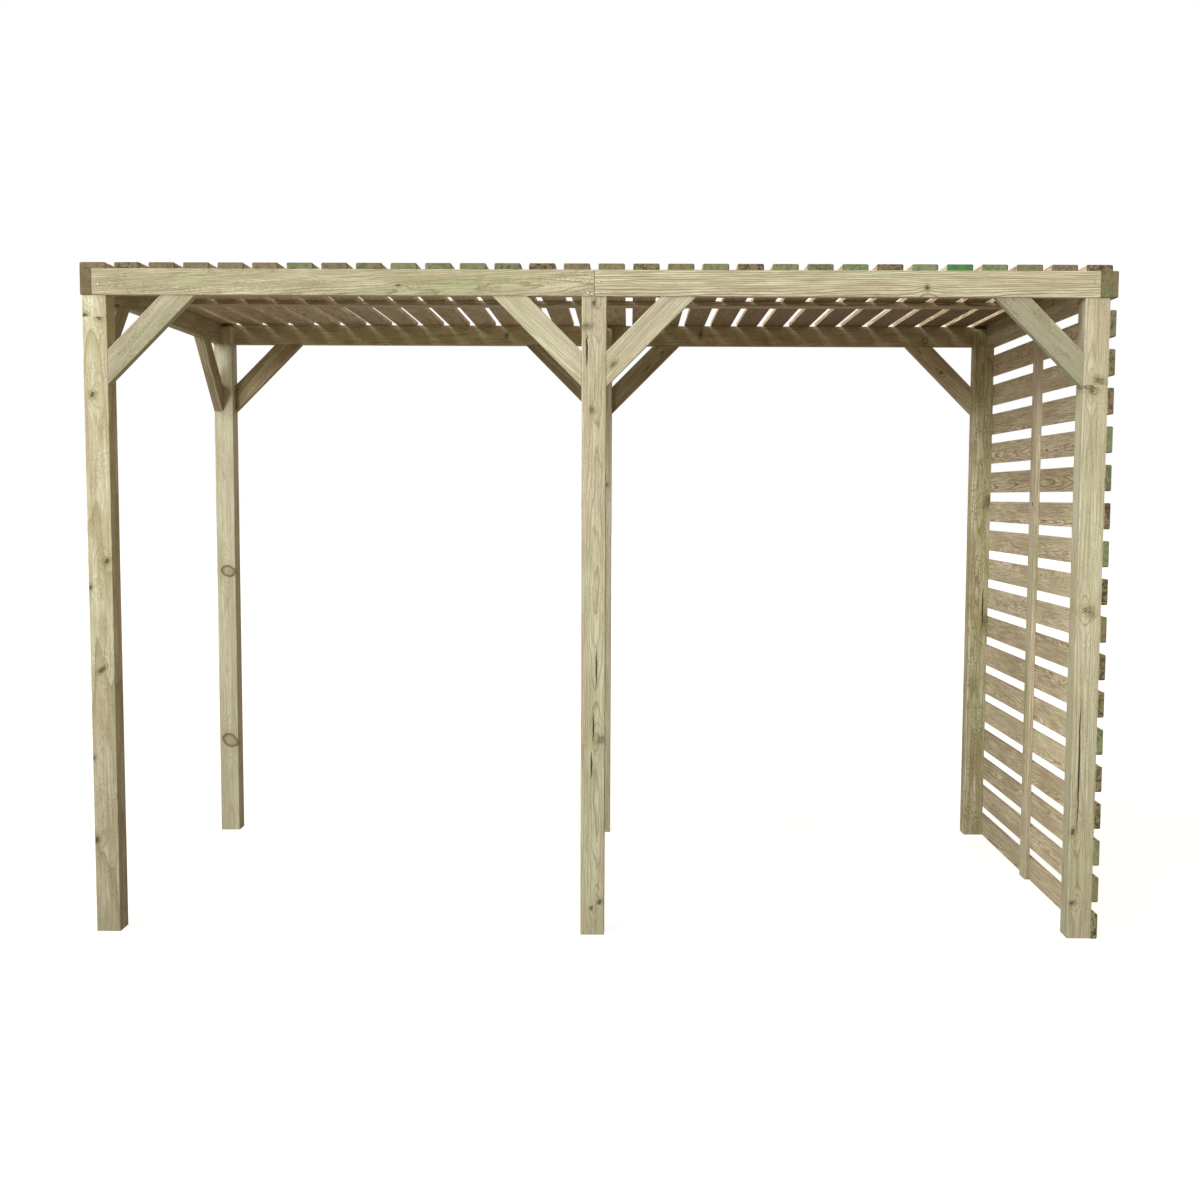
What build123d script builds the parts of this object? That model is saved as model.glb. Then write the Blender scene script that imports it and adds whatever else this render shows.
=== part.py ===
from build123d import *
import os

os.makedirs("parts", exist_ok=True)

# Wooden pergola, millimetres. The front faces -Y, +Z is up and the ground is z = 0.

# Overall sizes of the frame
WIDTH = 3750.0  # over the two side rails
DEPTH = 1840.0  # over the front and back beams
BEAM_TOP = 2465.0  # ground to the top of the beams

# Timber sections
POST_W = 90.0
BEAM_T = 42.0
BEAM_H = 95.0
BRACE_T = 42.0
BRACE_W = 90.0
SLAT_W = 96.0
SLAT_T = 22.0
BATTEN_W = 90.0
BATTEN_T = 20.0

# Joints
NOTCH = 38.0  # cut into a post's outer faces for a beam or a rail
TENON_DROP = 16.0  # top of a post below the top of the beams
BUTT_GAP = 1.0  # open joint where two beam lengths meet over the middle post
BRACE_REACH = 325.0  # long edge of a brace, along the beam and down the post

# Planed edges
POST_EASE = 3.0
BEAM_EASE = 2.5
SLAT_EASE = 6.0  # outer edges of a slat; the edges against the frame are left square

# Slats
ROOF_SLATS = 30
ROOF_GROUP = 5  # slats to a node
SIDE_SLATS = 18
SIDE_GROUP = 6

# Planes that the pieces share. The side slats are outside the right posts, so the frame
# stands half a slat's thickness to the left of the middle of the whole.
PROUD = BEAM_T - NOTCH  # beams and rails stand this far outside the posts
LEFT = -(WIDTH + SLAT_T) / 2
RIGHT = LEFT + WIDTH
MIDDLE = (LEFT + RIGHT) / 2
FRONT = -DEPTH / 2
BACK = DEPTH / 2
SHOULDER = BEAM_TOP - BEAM_H  # seat of the beams on the posts
POST_TOP = BEAM_TOP - TENON_DROP
POST_LEFT = LEFT + PROUD
POST_RIGHT = RIGHT - PROUD
POST_FRONT = FRONT + PROUD
POST_BACK = BACK - PROUD
ROOF_PITCH = (WIDTH - SLAT_W) / (ROOF_SLATS - 1)
SIDE_PITCH = (BEAM_TOP - SLAT_W) / (SIDE_SLATS - 1)


# A square-edged block between two corners
def block(low, high):
    x0, y0, z0 = low
    x1, y1, z1 = high
    body = Box(x1 - x0, y1 - y0, z1 - z0, align=(Align.MIN, Align.MIN, Align.MIN))
    return body.moved(Location((x0, y0, z0)))


# A planed length of timber between two corners, its long edges rounded
def timber(low, high, along, ease):
    body = block(low, high)
    return fillet(body.edges().filter_by(along), ease)


# One node: a list of like pieces, written to its own file
def save(name, pieces):
    whole = pieces[0] if len(pieces) == 1 else Compound(children=pieces)
    whole.label = name
    export_step(whole, os.path.join("parts", name + ".step"))


# Posts, each notched on its outer faces so that a square tongue stands inside the beams.
# side is -1 or 1 for a corner post and 0 for a middle one; end is -1 at the front, 1 at the back.
def post(side, end):
    x0 = {-1: POST_LEFT, 0: MIDDLE - POST_W / 2, 1: POST_RIGHT - POST_W}[side]
    y0 = POST_FRONT if end < 0 else POST_BACK - POST_W
    body = timber((x0, y0, 0), (x0 + POST_W, y0 + POST_W, POST_TOP), Axis.Z, POST_EASE)
    cut_y = y0 if end < 0 else y0 + POST_W - NOTCH
    cut_z = POST_TOP - SHOULDER
    corner = (Align.MIN, Align.MIN, Align.MIN)
    body = body - Location((x0, cut_y, SHOULDER)) * Box(POST_W, NOTCH, cut_z, align=corner)
    if side:
        cut_x = x0 if side < 0 else x0 + POST_W - NOTCH
        body = body - Location((cut_x, y0, SHOULDER)) * Box(NOTCH, POST_W, cut_z, align=corner)
    return body


for end, end_name in ((-1, "front"), (1, "back")):
    for side, side_name in ((-1, "left"), (0, "middle"), (1, "right")):
        save("post_" + end_name + "_" + side_name, [post(side, end)])


# Side rails, lying in the corner posts' notches for the full depth, end grain to the front
def rail(x0):
    return timber((x0, FRONT, SHOULDER), (x0 + BEAM_T, BACK, BEAM_TOP), Axis.Y, BEAM_EASE)


save("side_rail_left", [rail(LEFT)])
save("side_rail_right", [rail(RIGHT - BEAM_T)])


# Beams, two lengths to a side, between the rails and butted over the middle post
def beam(x0, x1, y0):
    return timber((x0, y0, SHOULDER), (x1, y0 + BEAM_T, BEAM_TOP), Axis.X, BEAM_EASE)


for end_name, y0 in (("front", FRONT), ("back", BACK - BEAM_T)):
    save(end_name + "_beam_left", [beam(LEFT + BEAM_T, MIDDLE - BUTT_GAP / 2, y0)])
    save(end_name + "_beam_right", [beam(MIDDLE + BUTT_GAP / 2, RIGHT - BEAM_T, y0)])


# Knee braces at 45 degrees, mitred to bear on a post and under a beam or rail.
# The outline is drawn as (distance from the post, height) and laid along X or Y.
def brace(start, way, along, outer, inner):
    mitre = BRACE_W * 2**0.5
    outline = [
        (0, SHOULDER - BRACE_REACH),
        (BRACE_REACH, SHOULDER),
        (BRACE_REACH - mitre, SHOULDER),
        (0, SHOULDER - BRACE_REACH + mitre),
    ]
    if along == "x":
        corners = [Vector(start + way * d, outer, z) for d, z in outline]
        across = Vector(0, inner - outer, 0)
    else:
        corners = [Vector(outer, start + way * d, z) for d, z in outline]
        across = Vector(inner - outer, 0, 0)
    face = Face(Wire.make_polygon(corners, close=True))
    body = Solid.extrude(face, across)
    long_edges = [e for e in body.edges() if 0.6 < abs(e.tangent_at(0.5).Z) < 0.8]
    return fillet(long_edges, BEAM_EASE)


for end_name, outer, inner in (
    ("front", POST_FRONT, POST_FRONT + BRACE_T),
    ("back", POST_BACK, POST_BACK - BRACE_T),
):
    name = end_name + "_brace_"
    save(name + "left", [brace(POST_LEFT + POST_W, 1, "x", outer, inner)])
    save(name + "middle_left", [brace(MIDDLE - POST_W / 2, -1, "x", outer, inner)])
    save(name + "middle_right", [brace(MIDDLE + POST_W / 2, 1, "x", outer, inner)])
    save(name + "right", [brace(POST_RIGHT - POST_W, -1, "x", outer, inner)])

side_inner = POST_LEFT + BRACE_T
save("side_brace_front", [brace(POST_FRONT + POST_W, 1, "y", POST_LEFT, side_inner)])
save("side_brace_back", [brace(POST_BACK - POST_W, -1, "y", POST_LEFT, side_inner)])

# Roof purlin, a board laid flat under the slats from rail to rail
purlin_low = (LEFT + BEAM_T, -BATTEN_W / 2, BEAM_TOP - BATTEN_T)
purlin_high = (RIGHT - BEAM_T, BATTEN_W / 2, BEAM_TOP)
save("roof_purlin", [timber(purlin_low, purlin_high, Axis.X, BEAM_EASE)])

# Side batten, an upright board that holds the side slats halfway along, under the right rail
batten_low = (POST_RIGHT - BATTEN_T, -BATTEN_W / 2, 0)
batten_high = (POST_RIGHT, BATTEN_W / 2, SHOULDER)
save("side_batten", [timber(batten_low, batten_high, Axis.Z, BEAM_EASE)])

# One slat, front to back. Only its two outer long edges are rounded, on the side that faces
# along the axis outer.
def slat(low, high, outer):
    body = block(low, high)
    return fillet(body.edges().filter_by(Axis.Y).group_by(outer)[-1], SLAT_EASE)


# Roof slats, laid front to back on the beams, the outermost over the rails
for group in range(ROOF_SLATS // ROOF_GROUP):
    slats = []
    for i in range(group * ROOF_GROUP, (group + 1) * ROOF_GROUP):
        x0 = LEFT + i * ROOF_PITCH
        low = (x0, FRONT, BEAM_TOP)
        high = (x0 + SLAT_W, BACK, BEAM_TOP + SLAT_T)
        slats.append(slat(low, high, Axis.Z))
    save("roof_slats_" + str(group + 1), slats)

# Side slats, fixed outside the right posts from the ground up, the top one on the rail
for group, group_name in enumerate(("lower", "middle", "upper")):
    slats = []
    for i in range(group * SIDE_GROUP, (group + 1) * SIDE_GROUP):
        x0 = RIGHT if i == SIDE_SLATS - 1 else POST_RIGHT
        z0 = i * SIDE_PITCH
        low = (x0, FRONT, z0)
        high = (x0 + SLAT_T, BACK, z0 + SLAT_W)
        slats.append(slat(low, high, Axis.X))
    save("side_slats_" + group_name, slats)
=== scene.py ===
import math
import bpy
import numpy as np
from mathutils import Matrix, Vector


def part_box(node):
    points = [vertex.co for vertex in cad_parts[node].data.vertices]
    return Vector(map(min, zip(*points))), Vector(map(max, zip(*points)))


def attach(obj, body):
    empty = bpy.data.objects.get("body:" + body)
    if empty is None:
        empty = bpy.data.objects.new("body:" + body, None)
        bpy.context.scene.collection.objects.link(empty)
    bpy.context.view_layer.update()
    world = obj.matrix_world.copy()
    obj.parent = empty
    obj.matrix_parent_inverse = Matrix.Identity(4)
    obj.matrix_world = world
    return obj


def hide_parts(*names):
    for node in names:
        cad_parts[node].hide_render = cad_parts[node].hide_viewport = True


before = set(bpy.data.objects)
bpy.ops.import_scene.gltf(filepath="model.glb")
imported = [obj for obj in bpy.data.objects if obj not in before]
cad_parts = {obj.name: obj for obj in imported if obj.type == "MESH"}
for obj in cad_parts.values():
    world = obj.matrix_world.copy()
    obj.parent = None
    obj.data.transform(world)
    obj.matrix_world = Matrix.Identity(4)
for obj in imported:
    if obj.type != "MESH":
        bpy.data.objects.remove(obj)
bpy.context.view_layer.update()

# Posts: six square posts of planed, pressure-treated softwood that stand on the ground. Each is
# cut from a small trunk, so branches run from near its middle to its faces, and its top is
# notched on the outer faces to leave a square tongue inside the beams.


def planed_section(wide, thick, ease, steps=4):
    """Section of a planed length, as points (across, through), their outward directions and how far
    round an arris each lies. Each corner is a quarter circle, its centre + ease * (cos t, sin t),
    and each flat runs straight on to the next corner. Anticlockwise, from the corner where both
    are most; ease is one radius or one for each corner."""
    ease = np.broadcast_to(ease, 4).repeat(steps + 1)[:, None]
    part = np.tile(np.linspace(0, 1, steps + 1), 4)
    turn = (np.arange(4).repeat(steps + 1) + part) * np.pi / 2
    way = np.stack([np.cos(turn), np.sin(turn)], 1)
    sign = np.array([[1, 1], [-1, 1], [-1, -1], [1, -1]]).repeat(steps + 1, 0)
    middle = sign * (np.array([wide, thick]) / 2 - ease)
    return middle + ease * way, way, np.sin(part * np.pi)


def tube_faces(rows, around):
    """The faces of a tube of points and the row each lies in: the point (i, j) is joined to
    (i, j + 1), (i + 1, j + 1) and (i + 1, j), and the first j follows the last."""
    i, j = np.meshgrid(np.arange(rows - 1), np.arange(around), indexing="ij")
    k = (j + 1) % around
    quads = np.stack([i * around + j, i * around + k, (i + 1) * around + k, (i + 1) * around + j], -1)
    return quads.reshape(-1, 4), i.reshape(-1)


def timber(start, along, across, length, wide, thick, ease, *, pith, drift, look, grain, ends, seed,
           face=(0.2, 0.1, 0.2), mitre=(0, 0), bow=0.0, knots=(), splits=()):
    """A length of timber: its section carried along a straight line. At the share s of the length,
    the point (v, w) of the section lies at x = m0 u + s (length - (m0 + m1) u), where
    u = v + wide / 2, so the ends are cut to the mitres m0 and m1. It is then moved through by
    bow sin(pi s). The pith of the trunk is the line pith + drift x, and the pattern of the wood is
    read from it. Knots (x, v, w, size, slant, length over width, kind) and splits (x, v, w, half
    length) lie in half planes through the pith, and every corner keeps its place from the nearest
    one: along, beside and outward. Each corner also keeps the board's look (lighter or darker,
    green, brown), grain (line strength, ring width in mm, wander), face (dull, zones, rough) and
    ends (green, dark, vivid green), and its place: how much it belongs to a sawn end or the narrow
    bevel beside one, how much to an arris, and how large its knot is."""
    a, b = np.array(along, float), np.array(across, float)
    a, b = a / np.linalg.norm(a), b / np.linalg.norm(b)
    c = np.cross(a, b)
    outline, way, arris = planed_section(wide, thick, ease)
    n = len(outline)
    unmarked = (0, 0, 0, 0, 0, 1, 0)
    knots = np.array(sorted(knots) or [unmarked], float)
    splits = np.array([(*row, 0, 1, 0) for row in sorted(splits)] or [unmarked], float)
    cuts = np.concatenate([(marks[1:, 0] + marks[:-1, 0]) / 2 / length for marks in (knots, splits)])
    spacing, bevel, set_back = 0.12, 0.0008, 0.0006
    s = np.linspace(0, 1, max(5, int(length / spacing)))
    s = np.unique(np.concatenate([[bevel / length, 1 - bevel / length], s, cuts]))[:, None]
    shrink = np.ones_like(s)
    shrink[[0, -1]] = 1 - 2 * set_back / thick
    v, w = outline[:, 0] * shrink, outline[:, 1] * shrink
    u = v + wide / 2
    x = mitre[0] * u + s * (length - (mitre[0] + mitre[1]) * u)
    through = w + bow * np.sin(np.pi * s)
    points = np.array(start) + x[..., None] * a + v[..., None] * b + through[..., None] * c
    rows = len(s)
    quads, i = tube_faces(rows, n)
    caps = [np.arange(n)[::-1], (rows - 1) * n + np.arange(n)]
    corner = np.concatenate([quads.reshape(-1), *caps])
    row = np.concatenate([i.repeat(4), np.zeros(n, int), np.full(n, rows - 2)])
    middle_x = ((s[1:, 0] + s[:-1, 0]) / 2 * length)[row]
    end = np.concatenate([((i == 0) | (i == rows - 2)).repeat(4), np.ones(2 * n)])
    here = np.stack([x.reshape(-1), v.reshape(-1), w.reshape(-1)], 1)[corner]

    def nearest(table):
        """Each corner's nearest row of the table, and its place from it: along, beside, outward."""
        near = table[np.abs(middle_x[:, None] - table[:, 0]).argmin(1)]
        heart = np.array(pith) + near[:, :1] * np.array(drift)
        out = near[:, 1:3] - heart
        out = out / np.linalg.norm(out, axis=1)[:, None]
        rel = here[:, 1:] - heart
        beside = rel[:, 1] * out[:, 0] - rel[:, 0] * out[:, 1]
        return near, here[:, 0] - near[:, 0], beside, (rel * out).sum(1)

    nowhere, tiny = 99.0, 1e-6
    near, far, beside, outward = nearest(knots)
    size, slant, stretched = np.maximum(near[:, 3], tiny), near[:, 4], near[:, 5]
    lengthwise = (far * np.cos(slant) + beside * np.sin(slant)) / stretched
    sideways = beside * np.cos(slant) - far * np.sin(slant)
    knot = np.stack([lengthwise / size, sideways / size, outward / size, near[:, 6]], 1)
    knot[near[:, 3] == 0, :3] = nowhere
    near, far, beside, outward = nearest(splits)
    split = np.stack([far / np.maximum(near[:, 3], tiny), beside, outward], 1)
    split[near[:, 3] == 0] = nowhere
    up_the_trunk = x + np.random.default_rng(seed).uniform(-8, 8)
    log = np.stack([up_the_trunk, v - pith[0] - drift[0] * x, w - pith[1] - drift[1] * x], -1)
    normal = (way[:, :1] * b + way[:, 1:] * c)[corner % n]
    normal[quads.size:quads.size + n] = -a + mitre[0] * b
    normal[quads.size + n:] = a + mitre[1] * b
    normal /= np.linalg.norm(normal, axis=1)[:, None]
    board = {label: np.tile(np.array(value, float), (len(corner), 1))
             for label, value in (("look", look), ("grain", grain), ("face", face), ("ends", ends))}
    place = np.stack([end, arris[corner % n] * (1 - end), size * (knot[:, 0] < nowhere)], 1)
    return {"points": points.reshape(-1, 3), "faces": quads.tolist() + [cap.tolist() for cap in caps],
            "log": log.reshape(-1, 3), "knot": knot, "split": split, "place": place,
            "normal": normal, **board}


def linked(name, data):
    """A new object in the scene."""
    made = bpy.data.objects.new(name, data)
    bpy.context.scene.collection.objects.link(made)
    return made


wood_marks = ("log", "knot", "split", "place", "look", "grain", "face", "ends")


def piece(node, lengths, wood):
    """One piece of the pergola, in place of a CAD node: like lengths of timber as one mesh."""
    name = node + "_wood"
    first = np.cumsum([0] + [len(t["points"]) for t in lengths])
    faces = [[k + at for k in face] for t, at in zip(lengths, first) for face in t["faces"]]
    mesh = bpy.data.meshes.new(name)
    mesh.from_pydata(np.concatenate([t["points"] for t in lengths]).tolist(), [], faces)
    for label in wood_marks:
        values = np.concatenate([t[label] for t in lengths]).astype(np.float32).reshape(-1)
        kind, store = ("FLOAT_COLOR", "color") if label == "knot" else ("FLOAT_VECTOR", "vector")
        domain = "POINT" if label == "log" else "CORNER"
        mesh.attributes.new(label, kind, domain).data.foreach_set(store, values)
    mesh.polygons.foreach_set("use_smooth", np.ones(len(faces), bool))
    mesh.normals_split_custom_set(np.concatenate([t["normal"] for t in lengths]).tolist())
    mesh.materials.append(wood)
    made = linked(name, mesh)
    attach(made, "root")
    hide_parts(node)


def blank_tree(made):
    """The shader tree of a new material or sky, with nothing in it."""
    made.use_nodes = True
    made.node_tree.nodes.clear()
    return made.node_tree


def add(tree, kind, values=None, **settings):
    """One shader node, with its settings. The values are set on its sockets or linked to them."""
    made = tree.nodes.new("ShaderNode" + kind)
    for label, value in settings.items():
        setattr(made, label, value)
    for label, value in (values or {}).items():
        if isinstance(value, bpy.types.NodeSocket):
            tree.links.new(value, made.inputs[label])
        else:
            made.inputs[label].default_value = value
    return made


def sums(tree, operation, *terms):
    """A Math node on numbers or sockets."""
    return add(tree, "Math", dict(enumerate(terms)), operation=operation).outputs[0]


def times(tree, first, second):
    """The product of two numbers or sockets."""
    return sums(tree, "MULTIPLY", first, second)


def scaled(tree, value, factor, more):
    """A value multiplied by a factor, with more added."""
    return sums(tree, "MULTIPLY_ADD", value, factor, more)


def inverted(tree, share):
    """The rest of a share: 1 less the share."""
    return sums(tree, "SUBTRACT", 1.0, share)


def stretch(tree, vector, along, beside):
    """A vector whose first part is multiplied by along, and the others by beside."""
    terms = {0: vector, 1: (along, beside, beside)}
    return add(tree, "VectorMath", terms, operation="MULTIPLY").outputs[0]


def noise(tree, vector, scale=1.0, detail=2.0, rough=0.5):
    """A noise from 0 to 1."""
    values = {"Vector": vector, "Scale": scale, "Detail": detail, "Roughness": rough}
    return add(tree, "TexNoise", values).outputs[0]


def step(tree, value, low, high):
    """0 below low, 1 above high and smooth between."""
    return add(tree, "MapRange", {"Value": value, "From Min": low, "From Max": high},
               interpolation_type="SMOOTHSTEP").outputs[0]


def mix(tree, share, first, second, blend="MIX"):
    """A colour between first and second."""
    values = {0: share, 6: first, 7: second}
    return add(tree, "Mix", values, data_type="RGBA", blend_type=blend).outputs[2]


def paint(red, green, blue):
    """A screen colour from 0 to 255 as the linear colour that a shader takes, which is
    ((c + 0.055) / 1.055) ^ 2.4, and c / 12.92 where c is very dark."""
    c = np.array([red, green, blue]) / 255
    return (*np.where(c > 0.04045, ((c + 0.055) / 1.055) ** 2.4, c / 12.92).tolist(), 1.0)


def shader_group(name, takes, gives):
    """A shader node group with named sockets; a default of None makes a vector input."""
    tree = bpy.data.node_groups.new(name, "ShaderNodeTree")
    for label, value in takes.items():
        kind = "NodeSocketVector" if value is None else "NodeSocketFloat"
        socket = tree.interface.new_socket(label, in_out="INPUT", socket_type=kind)
        if value is not None:
            socket.default_value = value
    for label in gives:
        tree.interface.new_socket(label, in_out="OUTPUT", socket_type="NodeSocketFloat")
    return tree, tree.nodes.new("NodeGroupInput").outputs, tree.nodes.new("NodeGroupOutput").inputs


# Growth rings: the distance from the pith, made to wander, is divided into rings. In each ring the
# wood darkens towards the end of the season, in a narrower band where Sharp is higher, and stops
# at once. Streaks and fibres follow the trunk.
rings, take, give = shader_group(
    "growth rings", {"Log": None, "Ring Width": 5.0, "Bulge": 0.0, "Wander": 1.0, "Sharp": 2.0},
    ["Late Wood", "Season", "Streak", "Fibre"])
across = stretch(rings, take["Log"], 0.0, 1.0)
radius = add(rings, "VectorMath", {0: across}, operation="LENGTH").outputs["Value"]
wander = 0.0  # a sum of long, middling and short waves, each with its depth in metres
for along, beside, depth in ((1.3, 7.0, 0.034), (7.0, 30.0, 0.007), (40.0, 260.0, 0.0012)):
    wave = noise(rings, stretch(rings, take["Log"], along, beside), detail=1.0)
    wave = sums(rings, "SUBTRACT", wave, 0.5)
    wander = scaled(rings, wave, depth, wander)
radius = scaled(rings, wander, take["Wander"], radius)
radius = sums(rings, "SUBTRACT", radius, take["Bulge"])
count = sums(rings, "DIVIDE", times(rings, radius, 1000.0), take["Ring Width"])
which = sums(rings, "FLOOR", count)
chance = add(rings, "TexWhiteNoise", {"W": which}, noise_dimensions="1D").outputs["Value"]
part = sums(rings, "FRACT", count)
darkest = 0.90  # of the way through a ring; late wood starts between 0.2 and 0.5 of it
rise = step(rings, part, scaled(rings, chance, 0.3, 0.2), darkest)
rise = sums(rings, "POWER", rise, take["Sharp"])
fall = inverted(rings, step(rings, part, darkest, 1.0))
late = times(rings, times(rings, rise, fall), scaled(rings, chance, 0.7, 0.6))
rings.links.new(late, give["Late Wood"])
for label, along, beside, most in (("Season", 1.3, 24.0, 0.62), ("Streak", 5.0, 170.0, 0.60),
                                   ("Fibre", 24.0, 420.0, 0.66)):
    streaks = noise(rings, stretch(rings, take["Log"], along, beside), detail=3.0, rough=0.65)
    rings.links.new(step(rings, streaks, 1 - most, most), give[label])

# Knot: a branch is a round bar from the pith outwards. A dead one has a dark heart and a blurred
# edge, a live one (1) a thin dark double rim and a torn one (-1) rough strokes from the planer's
# knives. The trunk's rings swell round them all. Distances are in radii of the branch.
branch, take, give = shader_group("knot", {"From Branch": None, "Size": 0.01, "Live": 0.0},
                                  ["Heart", "Rim", "Shade", "Strokes", "Bulge"])
from_axis = {0: take["From Branch"], 1: (1.0, 1.0, 0.0)}
across = add(branch, "VectorMath", from_axis, operation="MULTIPLY").outputs[0]
ripple = sums(branch, "SUBTRACT", noise(branch, take["From Branch"], 1.1, 3.0, 0.6), 0.5)
away = add(branch, "VectorMath", {0: across}, operation="LENGTH").outputs["Value"]
alive = sums(branch, "MAXIMUM", take["Live"], 0.0)
torn = sums(branch, "MAXIMUM", times(branch, take["Live"], -1.0), 0.0)
away = scaled(branch, ripple, scaled(branch, alive, -0.6, 1.1), away)
outward = step(branch, add(branch, "SeparateXYZ", {0: take["From Branch"]}).outputs[2], -0.4, 0.4)
dead = inverted(branch, scaled(branch, torn, 0.65, times(branch, alive, 0.85)))
heart = times(branch, inverted(branch, step(branch, away, 0.35, 0.85)), dead)
outer_rim, inner_rim = 0.95, 0.68
band = sums(branch, "ABSOLUTE", sums(branch, "SUBTRACT", away, outer_rim))
inner = sums(branch, "ABSOLUTE", sums(branch, "SUBTRACT", away, inner_rim))
inner = times(branch, inverted(branch, step(branch, inner, 0.02, 0.12)), alive)
rim = inverted(branch, step(branch, band, 0.08, 0.24))
rim = times(branch, rim, scaled(branch, take["Live"], 0.6, 0.4))
rim = sums(branch, "MAXIMUM", rim, times(branch, inner, 0.6))
torn_wood = noise(branch, stretch(branch, take["From Branch"], 1.0, 3.0), 1.6, 3.0, 0.7)
strokes = step(branch, torn_wood, 0.46, 0.54)
strokes = times(branch, strokes, inverted(branch, step(branch, away, 0.5, 1.7)))
branch.links.new(times(branch, times(branch, strokes, torn), outward), give["Strokes"])
fade = sums(branch, "EXPONENT", times(branch, sums(branch, "POWER", away, 2.0), -0.35))
branch.links.new(times(branch, heart, outward), give["Heart"])
branch.links.new(times(branch, rim, outward), give["Rim"])
branch.links.new(times(branch, fade, outward), give["Shade"])
swell = sums(branch, "EXPONENT", times(branch, sums(branch, "POWER", away, 2.0), -0.12))
swell = times(branch, swell, outward)
swell = times(branch, swell, times(branch, take["Size"], scaled(branch, torn, -0.4, 0.7)))
branch.links.new(swell, give["Bulge"])

# Drying split: a thin wavering gap in a plane through the pith, widest in the middle of its length,
# painted dark as the shade inside it.
drying, take, give = shader_group("drying split", {"From Split": None, "Width": 0.0032}, ["Split"])
parts = add(drying, "SeparateXYZ", {0: take["From Split"]}).outputs
waver = noise(drying, stretch(drying, take["From Split"], 3.0, 0.0), detail=3.0)
waver = sums(drying, "SUBTRACT", waver, 0.5)
off = sums(drying, "ABSOLUTE", scaled(drying, waver, 0.012, parts[1]))
half = times(drying, inverted(drying, sums(drying, "POWER", parts[0], 2.0)), take["Width"])
gap = inverted(drying, step(drying, off, times(drying, half, 0.6), times(drying, half, 0.9)))
gap = times(drying, gap, sums(drying, "GREATER_THAN", half, 0.0001))
drying.links.new(times(drying, gap, sums(drying, "GREATER_THAN", parts[2], 0.0)), give["Split"])

# Treatment: the preservative leaves long pale green patches, planing and rain leave duller and
# rougher ones, and where the grain dips a darker zone starts at a soft line across the board. The
# wood is darker towards the ground: painted shade, for the light that falls off towards the floor.
tint, take, give = shader_group("treatment", {"Log": None, "Point": None},
                                ["Green", "Dull", "Speck", "Zone", "Low Shade"])
green = noise(tint, stretch(tint, take["Log"], 1.5, 14.0), detail=3.0, rough=0.6)
tint.links.new(step(tint, green, 0.44, 0.66), give["Green"])
dull = noise(tint, stretch(tint, take["Log"], 3.2, 13.0), detail=4.0, rough=0.6)
tint.links.new(step(tint, dull, 0.38, 0.66), give["Dull"])
speckled = noise(tint, stretch(tint, take["Log"], 90.0, 190.0), detail=2.0, rough=0.7)
speckled = step(tint, speckled, 0.44, 0.64)
rough_place = step(tint, noise(tint, stretch(tint, take["Log"], 9.0, 26.0), detail=2.0), 0.42, 0.60)
tint.links.new(times(tint, speckled, scaled(tint, rough_place, 0.85, 0.15)), give["Speck"])
# painted shade: darker from about 2 m down to the ground, with a wavering edge
level = add(tint, "SeparateXYZ", {0: take["Point"]}).outputs[2]
level = scaled(tint, noise(tint, take["Point"], 5.0, 2.0), 0.5, level)
tint.links.new(inverted(tint, step(tint, level, -0.1, 2.0)), give["Low Shade"])
run = add(tint, "SeparateXYZ", {0: take["Log"]}).outputs[0]
bend = noise(tint, stretch(tint, take["Log"], 1.2, 13.0), detail=1.0)
zone = sums(tint, "FRACT", scaled(tint, run, 1.7, times(tint, bend, 2.2)))
zone = times(tint, sums(tint, "POWER", zone, 4.0), inverted(tint, step(tint, zone, 0.965, 1.0)))
tint.links.new(zone, give["Zone"])

# Edge wear and highlight: a planed arris is a little paler, partly from wear and partly as a painted
# highlight where the eased edge catches the light, and polished, with small dark nicks along it.
wear, take, give = shader_group("edge wear and highlight", {"Arris": 0.0, "Log": None}, ["Worn", "Nick"])
bite = noise(wear, stretch(wear, take["Log"], 34.0, 60.0), detail=3.0, rough=0.7)
stretch_of = noise(wear, stretch(wear, take["Log"], 2.2, 0.0), detail=1.0)
nick = times(wear, step(wear, bite, 0.50, 0.62), step(wear, stretch_of, 0.46, 0.60))
wear.links.new(times(wear, take["Arris"], inverted(wear, nick)), give["Worn"])
wear.links.new(times(wear, take["Arris"], nick), give["Nick"])


def placed(tree, group, links, **values):
    """One of the effects above, placed in a material with its own values."""
    made = add(tree, "Group", node_tree=group)
    for label, socket in links.items():
        tree.links.new(socket, made.inputs[label])
    for label, value in values.items():
        made.inputs[label.replace("_", " ")].default_value = value
    return made.outputs


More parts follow.
